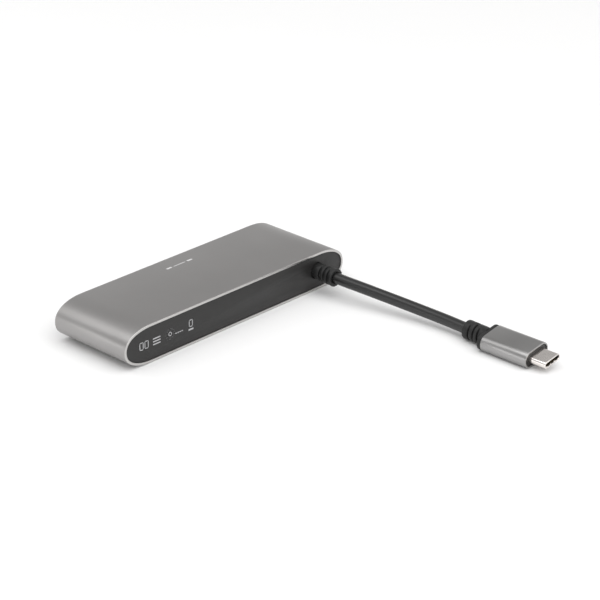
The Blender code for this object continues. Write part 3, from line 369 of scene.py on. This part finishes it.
def housing_shell():
    """The sleeve: one soft-ended tube whose two mouths are cut bright."""
    edge = 0.16 * MM
    stations = wall_section(WALL, -WIDTH / 2, WIDTH / 2, edge, 0.1 * MM)
    rings = [ring_at(superellipse_end, inset + SKIN, y, MIDDLE) for inset, y in stations]
    bright = 0.12 * MM

    def finish_of(index):
        first, second = stations[index], stations[(index + 1) % len(stations)]
        same_mouth = first[1] * second[1] > 0.0
        return 1 if same_mouth and abs(first[1] + second[1]) / 2 > WIDTH / 2 - bright else 0
    bm = loft(rings, True, finish_of)
    finish_mesh("housing_shell", bm, ("body_aluminium", "cut_rim"), ["housing_sleeve"],
                angle=40)


def panel_slab(side):
    """A panel plate with softly broken edges; side is 1 for +Y and -1 for -Y."""
    inset = WALL + SKIN + 0.08 * MM
    front = side * PANEL_FRONT
    back = side * (PANEL_FRONT - PANEL_THICK)
    stations = [(i, y) for i, y in rounded_edge(inset, front, 0.15 * MM, side)] + [(inset, back)]
    return loft([ring_at(superellipse_end, i, y, MIDDLE) for i, y in stations])


def fuse(bm, other):
    """One solid out of two that overlap."""
    return apply_cuts(bm, [other], 0.0, "UNION")


def apply_cuts(bm, cutters, edge, operation="DIFFERENCE"):
    """Cuts the solids out of bm and breaks the new edges."""
    mesh = bpy.data.meshes.new("work")
    bmesh.ops.recalc_face_normals(bm, faces=bm.faces)
    bm.to_mesh(mesh)
    bm.free()
    work = bpy.data.objects.new("work", mesh)
    bpy.context.scene.collection.objects.link(work)
    tools = []
    for cutter in cutters:
        bmesh.ops.recalc_face_normals(cutter, faces=cutter.faces)
        tool_mesh = bpy.data.meshes.new("tool")
        cutter.to_mesh(tool_mesh)
        cutter.free()
        tool = bpy.data.objects.new("tool", tool_mesh)
        bpy.context.scene.collection.objects.link(tool)
        step = work.modifiers.new("cut", "BOOLEAN")
        step.operation = operation
        step.solver = "EXACT"
        step.object = tool
        tools.append(tool)
    if edge:
        step = work.modifiers.new("edge", "BEVEL")
        step.width = edge
        step.segments = 2
        step.limit_method = "ANGLE"
        step.angle_limit = math.radians(60)
    bpy.context.view_layer.update()
    ready = bpy.data.meshes.new_from_object(work.evaluated_get(bpy.context.evaluated_depsgraph_get()))
    result = bmesh.new()
    result.from_mesh(ready)
    for item in tools + [work]:
        bpy.data.objects.remove(item, do_unlink=True)
    return result


def prism(outline, low_y, high_y, dx=0.0, dz=0.0):
    """A closed outline in X and Z drawn out along Y, moved by dx and dz."""
    return loft([[(x + dx, y, z + dz) for x, z in outline] for y in (low_y, high_y)])


def circle(radius, sides=48):
    """Points (u, v) evenly spaced round a circle."""
    turns = [2 * math.pi * k / sides for k in range(sides)]
    return [(radius * math.cos(a), radius * math.sin(a)) for a in turns]


def video_outline(grow):
    """The mouth of the video port, with slanted lower corners, grown by the given amount."""
    half = 7.0 * MM + grow
    rise = 2.275 * MM + grow
    foot = half - 1.5 * MM
    bend = -0.55 * MM
    return [(half, bend), (half, rise), (-half, rise), (-half, bend), (-foot, -rise), (foot, -rise)]


def panels():
    """Both end plates: the near one with the boot's hole, the far one with the four port openings."""
    deep = (PANEL_FRONT - 2 * PANEL_THICK, PANEL_FRONT + PANEL_THICK)
    hole = prism(circle(BOOT_HOLE), -deep[1], -deep[0], BOOT_AXIS.x, BOOT_AXIS.z)
    bm = apply_cuts(panel_slab(-1), [hole], EDGE_BREAK)
    finish_mesh("cable_side_face", bm, ("panel_plastic",), ["cable_side_panel"])

    cutters = []
    for number in (1, 2):
        low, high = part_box("type_a_shell_%d" % number)
        size = (high.x - low.x + 2 * PORT_GAP, high.z - low.z + 2 * PORT_GAP)
        centre = ((low.x + high.x) / 2, (low.z + high.z) / 2)
        cutters.append(prism(rounded_rectangle(*size, 0.8 * MM), *deep, *centre))
    low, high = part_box("video_port_shell")
    centre = ((low.x + high.x) / 2, (low.z + high.z) / 2)
    cutters.append(prism(video_outline(0.5 * MM), *deep, *centre))
    slot_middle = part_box("card_socket_base")[0].z + 1.6 * MM
    cutters.append(prism(rounded_rectangle(*CARD_SLOT, 0.4 * MM), *deep, CARD_SLOT_X, slot_middle))
    bm = apply_cuts(panel_slab(1), cutters, EDGE_BREAK)
    finish_mesh("port_side_face", bm, ("panel_plastic",), ["port_side_panel"])


# ---------------------------------------------------------------- strain reliefs

def turned(stations, sides=64):
    """Rings about the Y axis; a station is (y, radius), with (depth, angle) added in a groove."""
    rings = []
    for y, radius, *slot in stations:
        ring = []
        for k in range(sides):
            a = 2 * math.pi * k / sides
            r = radius
            if slot:
                depth, middle = slot
                share = min(1.0, max(0.0, 1.15 * (math.cos(a - middle) + 0.42)))
                r -= depth * share * share * (3 - 2 * share)
            ring.append((r * math.cos(a), y, r * math.sin(a)))
        rings.append(ring)
    return rings


def fillet(y, radius, rise, away, steps=3):
    """Stations over a soft edge of size rise, at y, falling towards away (1 or -1 along Y)."""
    made = []
    for k in range(steps + 1):
        a = math.pi / 2 * k / steps
        made.append((y + away * rise * math.sin(a), radius - rise * (1 - math.cos(a))))
    return made


def groove(centre, radius, direction, middle):
    """Stations across a groove cut into one side of the rubber, deepest at the angle given."""
    half, lip = GROOVE_WIDTH / 2, 0.07 * MM
    return [
        (centre - direction * (half + lip), radius),
        (centre - direction * half, radius, lip, middle),
        (centre - direction * (half - lip), radius, GROOVE_DEPTH, middle),
        (centre + direction * (half - lip), radius, GROOVE_DEPTH, middle),
        (centre + direction * half, radius, lip, middle),
        (centre + direction * (half + lip), radius),
    ]


def boot_body():
    """The strain relief at the box: flange and neck through the panel, then a grooved tail."""
    x, z = BOOT_AXIS.x, BOOT_AXIS.z
    inner = FIT_GAP - (PANEL_FRONT - PANEL_THICK)
    outer = -PANEL_FRONT - 0.02 * MM
    flange, thick = BOOT_FLANGE
    stations = [(inner + thick, AXIS_POINT), (inner + thick, flange - 0.2 * MM)]
    stations += [(inner + thick - 0.2 * MM, flange), (inner + 0.1 * MM, flange), (inner, flange - 0.1 * MM)]
    stations += [(inner, BOOT_NECK), (outer, BOOT_NECK), (outer - 0.3 * MM, BOOT_NECK + 0.03 * MM)]
    root = BOOT_NECK + 0.1 * MM
    for centre, middle in BOOT_GROOVES:
        share = (centre - outer) / (BOOT_END - outer)
        stations += groove(centre, root + (BOOT_RADIUS - root) * share, -1, middle)
    stations += mouth_of_boot(BOOT_END, BOOT_RADIUS, -1)
    bm = loft([[(px + x, py, pz + z) for px, py, pz in ring] for ring in turned(stations)])
    return finish_mesh("boot_body", bm, ("boot_rubber",), ["cable_boot"], angle=50)


def mouth_of_boot(end, radius, direction):
    """The last stations of a strain relief: rounded end, then a shallow recess for the cable."""
    mouth = CABLE_RADIUS + 0.12 * MM
    stations = fillet(end - direction * 0.45 * MM, radius, 0.45 * MM, direction, 5)
    stations += [(end, mouth + 0.15 * MM), (end - direction * 0.15 * MM, mouth)]
    return stations + [(end - direction * 1.0 * MM, mouth), (end - direction * 1.0 * MM, AXIS_POINT)]


def plug_relief():
    """The sleeve's rear collar and spigot with the second grooved tail."""
    collar = inset_rectangle([side - 0.2 * MM for side in SLEEVE_SIZE], SLEEVE_CORNER - 0.1 * MM, 12)
    spigot = SLEEVE_WALL + 0.05 * MM
    front = SLEEVE_LENGTH + 0.03 * MM
    back = SLEEVE_LENGTH + COLLAR_THICK + FIT_GAP
    stations = [(spigot + 0.1 * MM, SLEEVE_LENGTH - 4.0 * MM), (spigot, SLEEVE_LENGTH - 3.8 * MM)]
    stations += [(spigot, front), (0.08 * MM, front), (0.0, front + 0.08 * MM)]
    stations += [(i, y) for i, y in reversed(rounded_edge(0.0, back, 0.32 * MM, 1))]
    bm = loft([ring_at(collar, i, y) for i, y in stations])
    start = back - 0.3 * MM
    tail = [(start, AXIS_POINT), (start, PLUG_BOOT_ROOT - 0.07 * MM)]
    for centre, middle in PLUG_GROOVES:
        share = (centre - start) / (PLUG_BOOT_END - start)
        tail += groove(centre, PLUG_BOOT_ROOT + PLUG_BOOT_GROWTH * share, 1, middle)
    tail += mouth_of_boot(PLUG_BOOT_END, PLUG_BOOT_ROOT + PLUG_BOOT_GROWTH, 1)
    bm = fuse(bm, loft(turned(tail)))
    return finish_mesh("plug_relief", bm, ("boot_rubber",), ["plug_boot"], angle=50,
                       place=PLUG_FRAME)


# ---------------------------------------------------------------- plug

def plug_barrel():
    """The aluminium sleeve of the plug, a tube with a softly polished mouth."""
    outline = inset_rectangle(SLEEVE_SIZE, SLEEVE_CORNER, 14)
    stations = wall_section(SLEEVE_WALL, 0.0, SLEEVE_LENGTH, 0.16 * MM, 0.10 * MM)
    rings = [ring_at(outline, inset, y) for inset, y in stations]

    def finish_of(index):
        first, second = stations[index], stations[(index + 1) % len(stations)]
        return 1 if (first[1] + second[1]) / 2 < 0.09 * MM else 0
    bm = loft(rings, True, finish_of)
    return finish_mesh("plug_barrel", bm, ("plug_aluminium", "plug_rim"), ["plug_sleeve"],
                       angle=40, place=PLUG_FRAME)


def plug_nose():
    """The black moulding in the sleeve's mouth, round the tip."""
    gap = SLEEVE_WALL + 0.04 * MM
    outline = inset_rectangle([side - 2 * gap for side in SLEEVE_SIZE], SLEEVE_CORNER - gap, 12)
    front, back = 0.35 * MM, 4.7 * MM
    stations = rounded_edge(0.0, front, 0.12 * MM, -1) + [(0.0, back)]
    bm = loft([ring_at(outline, i, y) for i, y in stations])
    width, height = (side + 2 * TIP_FIT for side in TIP_SIZE)
    hole = rounded_rectangle(width, height, TIP_CORNER + TIP_FIT, 10)
    bm = apply_cuts(bm, [prism(hole, front - 1.35 * MM, back + 1.3 * MM)], 0.05 * MM)
    return finish_mesh("plug_nose", bm, ("plug_plastic",), ["plug_insert"], place=PLUG_FRAME)


def plug_shell_tip():
    """The metal tip: a drawn tube whose mouth is rolled inwards to a thick soft lip."""
    outline = inset_rectangle(TIP_SIZE, TIP_CORNER, 12)
    front, back = -TIP_LENGTH, 5.4 * MM
    stations = [(TIP_WALL, back), (0.0, back)]
    steps = 6
    for k in range(steps + 1):
        a = math.pi * k / steps
        stations.append((TIP_LIP / 2 * (1 - math.cos(a)), front + TIP_LIP / 2 * (1 - math.sin(a))))
    stations += [(TIP_LIP, front + 0.9 * MM), (TIP_WALL, front + 1.15 * MM)]
    bm = loft([ring_at(outline, i, y) for i, y in stations], True)
    return finish_mesh("plug_shell_tip", bm, ("tip_nickel",), ["plug_tip"], angle=50,
                       place=PLUG_FRAME)


def plug_springs():
    """Four bright ground springs just inside the tip's mouth, on the lower side."""
    bm = bmesh.new()
    for x in SPRING_PLACES:
        low = Vector((x - 0.34 * MM, -TIP_LENGTH + 0.10 * MM, -0.76 * MM))
        high = Vector((x + 0.34 * MM, -TIP_LENGTH + 0.60 * MM, -0.36 * MM))
        size = high - low
        place = Matrix.Translation((low + high) / 2) @ Matrix.Diagonal((*size, 1.0))
        bmesh.ops.create_cube(bm, size=1.0, matrix=place)
    bmesh.ops.bevel(bm, geom=bm.edges[:], offset=0.06 * MM, segments=2, affect="EDGES")
    return finish_mesh("plug_springs", bm, ("tip_nickel",), place=PLUG_FRAME)


# ---------------------------------------------------------------- small printed marks

def stroke(bm, points, width, thick, closed=False):
    """A flat line of ink along points in a plane, given as (u, v)."""
    count = len(points)
    for k in range(count if closed else count - 1):
        a, b = Vector(points[k]), Vector(points[(k + 1) % count])
        along = (b - a).normalized() * width / 2
        across = Vector((-along.y, along.x))
        corners = [a - along + across, a - along - across, b + along - across, b + along + across]
        low = [bm.verts.new((*corner, 0.0)) for corner in corners]
        high = [bm.verts.new((*corner, thick)) for corner in corners]
        bm.faces.new(low)
        bm.faces.new(list(reversed(high)))
        for j in range(4):
            bm.faces.new((low[j - 1], low[j], high[j], high[j - 1]))


def bar(bm, left, low, right, high):
    """A filled rectangle of ink."""
    middle = (low + high) / 2
    stroke(bm, [(left + (high - low) / 2, middle), (right - (high - low) / 2, middle)], high - low, INK)


def frame_mark(bm, left, low, right, high, width):
    """A rectangle drawn in outline."""
    stroke(bm, [(left, low), (right, low), (right, high), (left, high)], width, INK, True)


def panel_marks():
    """Plain neutral signs printed in a row near the -X end of the cable side."""
    bm = bmesh.new()
    line = 0.32 * MM
    frame_mark(bm, -46.2 * MM, 5.9 * MM, -44.7 * MM, 8.5 * MM, line)
    frame_mark(bm, -43.9 * MM, 5.9 * MM, -42.4 * MM, 8.5 * MM, line)
    for row in range(3):
        low = (5.8 + 1.05 * row) * MM
        bar(bm, -40.2 * MM, low, -36.8 * MM, low + 0.45 * MM)
    centre = Vector((-32.3 * MM, 7.35 * MM))
    stroke(bm, [centre + Vector(point) for point in circle(1.75 * MM, 32)], line, INK, True)
    frame_mark(bm, centre.x - 0.6 * MM, centre.y - 0.6 * MM, centre.x + 0.6 * MM, centre.y + 0.6 * MM, line)
    for step in range(4):
        left = (-29.9 + 0.95 * step) * MM
        bar(bm, left, 6.5 * MM, left + 0.65 * MM, 6.85 * MM)
    frame_mark(bm, -23.4 * MM, 6.9 * MM, -21.9 * MM, 9.3 * MM, line)
    bar(bm, -23.8 * MM, 5.5 * MM, -21.5 * MM, 6.1 * MM)
    place = Matrix.Translation((0, -PANEL_FRONT, 0)) @ Matrix.Rotation(math.pi / 2, 4, "X")
    finish_mesh("panel_marks", bm, ("print_ink",), place=place)


def top_mark():
    """A thin neutral mark near the far edge of the top face: a bar between two short dashes."""
    bm = bmesh.new()
    bar(bm, -7.0 * MM, 10.6 * MM, -4.6 * MM, 11.5 * MM)
    bar(bm, -3.6 * MM, 10.85 * MM, 1.9 * MM, 11.25 * MM)
    bar(bm, 2.9 * MM, 10.6 * MM, 5.3 * MM, 11.5 * MM)
    place = Matrix.Translation((0, 0, HEIGHT - SKIN))
    finish_mesh("top_mark", bm, ("top_ink",), place=place)


# ---------------------------------------------------------------- stage

def soft_box(name, place, target, size, power, along=(0.0, 0.0, 1.0)):
    """A rectangular light aimed at the target; its second side runs as nearly along as it can."""
    data = bpy.data.lights.new(name, "AREA")
    data.shape = "RECTANGLE"
    data.size, data.size_y = size
    data.energy = power
    lamp = bpy.data.objects.new(name, data)
    bpy.context.scene.collection.objects.link(lamp)
    away = (Vector(place) - Vector(target)).normalized()
    side = (Vector(along) - away * away.dot(Vector(along))).normalized()
    turn = Matrix((side.cross(away), side, away)).transposed().to_4x4()
    lamp.matrix_world = Matrix.Translation(place) @ turn


def floor_sheet():
    """A wide pale floor, a hair below the object so that the two never share a face."""
    bm = bmesh.new()
    bmesh.ops.create_grid(bm, x_segments=8, y_segments=8, size=6.0)
    mesh = bpy.data.meshes.new("floor")
    bm.to_mesh(mesh)
    bm.free()
    mesh.materials.append(MATERIALS["floor_card"])
    floor = bpy.data.objects.new("floor", mesh)
    bpy.context.scene.collection.objects.link(floor)
    floor.location.z = -0.05 * MM


def studio_sky():
    """Soft light from all round: paler low down, where it lies behind the object, and dimmer overhead."""
    world = bpy.data.worlds.new("studio")
    bpy.context.scene.world = world
    world.use_nodes = True
    tree = world.node_tree
    back = tree.nodes["Background"]
    where = tree.nodes.new("ShaderNodeTexCoord")
    parts = tree.nodes.new("ShaderNodeSeparateXYZ")
    ramp = tree.nodes.new("ShaderNodeValToRGB")
    tree.links.new(where.outputs["Generated"], parts.inputs["Vector"])
    tree.links.new(parts.outputs["Z"], ramp.inputs["Fac"])
    tree.links.new(ramp.outputs["Color"], back.inputs["Color"])
    stops = ramp.color_ramp.elements
    stops.new(0.42)
    for stop, place, level in zip(stops, (0.0, 0.42, 0.72), (0.84, 0.66, 0.44)):
        stop.position = place
        stop.color = (level, 0.995 * level, 0.99 * level, 1.0)


def studio_lights():
    """A wide softbox overhead, and two on the left that draw the highlights along the rounded end."""
    soft_box("overhead_softbox", (-0.1, -0.55, 1.25), (0, 0, 0), (2.2, 2.2), 24.0)
    soft_box("left_softbox", (-0.25, 0.47, 0.617), (-0.03, 0, 0), (0.44, 0.8), 1.15, (0.0, 1.0, 0.0))
    soft_box("low_left_softbox", (-0.86, 0.44, 0.07), (0.0, -0.06, 0.005), (0.8, 0.3), 0.9)


def stage():
    floor_sheet()
    studio_sky()
    studio_lights()
    bpy.context.scene.view_settings.view_transform = "Standard"
    bpy.context.scene.view_settings.look = "None"


# ---------------------------------------------------------------- cable

def spline_point(corners, t):
    """A point on the middle span of a centripetal Catmull-Rom curve, t from 0 to 1."""
    times = [0.0]
    for a, b in zip(corners, corners[1:]):
        times.append(times[-1] + math.sqrt((b - a).length))
    now = times[1] + (times[2] - times[1]) * t
    first = [corners[k].lerp(corners[k + 1], (now - times[k]) / (times[k + 1] - times[k])) for k in range(3)]
    second = [first[k].lerp(first[k + 1], (now - times[k]) / (times[k + 2] - times[k])) for k in range(2)]
    return second[0].lerp(second[1], (now - times[1]) / (times[2] - times[1]))


def smooth_route(knots, spacing):
    """Points about spacing apart on a smooth curve through the knots."""
    knots = [Vector(k) for k in knots]
    ends = [2 * knots[0] - knots[1]] + knots + [2 * knots[-1] - knots[-2]]
    route = [knots[0]]
    for k in range(1, len(ends) - 2):
        pieces = max(1, round((ends[k + 1] - ends[k]).length / spacing))
        route += [spline_point(ends[k - 1:k + 3], j / pieces) for j in range(1, pieces + 1)]
    return route


def captive_cable():
    """The cable as one round bevelled curve along its route, and the length of that route."""
    route = smooth_route(CABLE_ROUTE, 1.2 * MM)
    length = sum((b - a).length for a, b in zip(route, route[1:]))
    curve = bpy.data.curves.new("captive_cable", "CURVE")
    curve.dimensions = "3D"
    curve.bevel_depth = CABLE_RADIUS
    curve.bevel_resolution = 10
    curve.use_fill_caps = True
    spline = curve.splines.new("POLY")
    spline.points.add(len(route) - 1)
    for point, place in zip(spline.points, route):
        point.co = (*place, 1.0)
    spline.use_smooth = True
    curve.materials.append(MATERIALS["cable_rubber"])
    piece = bpy.data.objects.new("captive_cable", curve)
    bpy.context.scene.collection.objects.link(piece)
    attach(piece, BODY)
    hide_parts("cable")
    return piece, route, length


# ---------------------------------------------------------------- pieces kept from the CAD

def carried_over_nodes():
    """Every CAD node that stays takes the finish of its material slot."""
    for entry in frame["record"]["subparts"]:
        node = frame["nodes"][entry["node"]]
        node.data.materials.clear()
        node.data.materials.append(MATERIALS[entry["material_slot"]])


make_camera()
MATERIALS = make_materials()
carried_over_nodes()
CABLE, ROUTE, CABLE_LENGTH = captive_cable()
housing_shell()
panels()
panel_marks()
top_mark()
stage()
ON_CORD = [boot_body(), plug_relief(), plug_barrel(), plug_nose(), plug_shell_tip(), plug_springs()]
ON_CORD += [frame["nodes"][name] for name in ("plug_core", "plug_contacts_upper", "plug_contacts_lower",
                                              "plug_board", "plug_marker_chip")]
tuple(ROUTE[0])
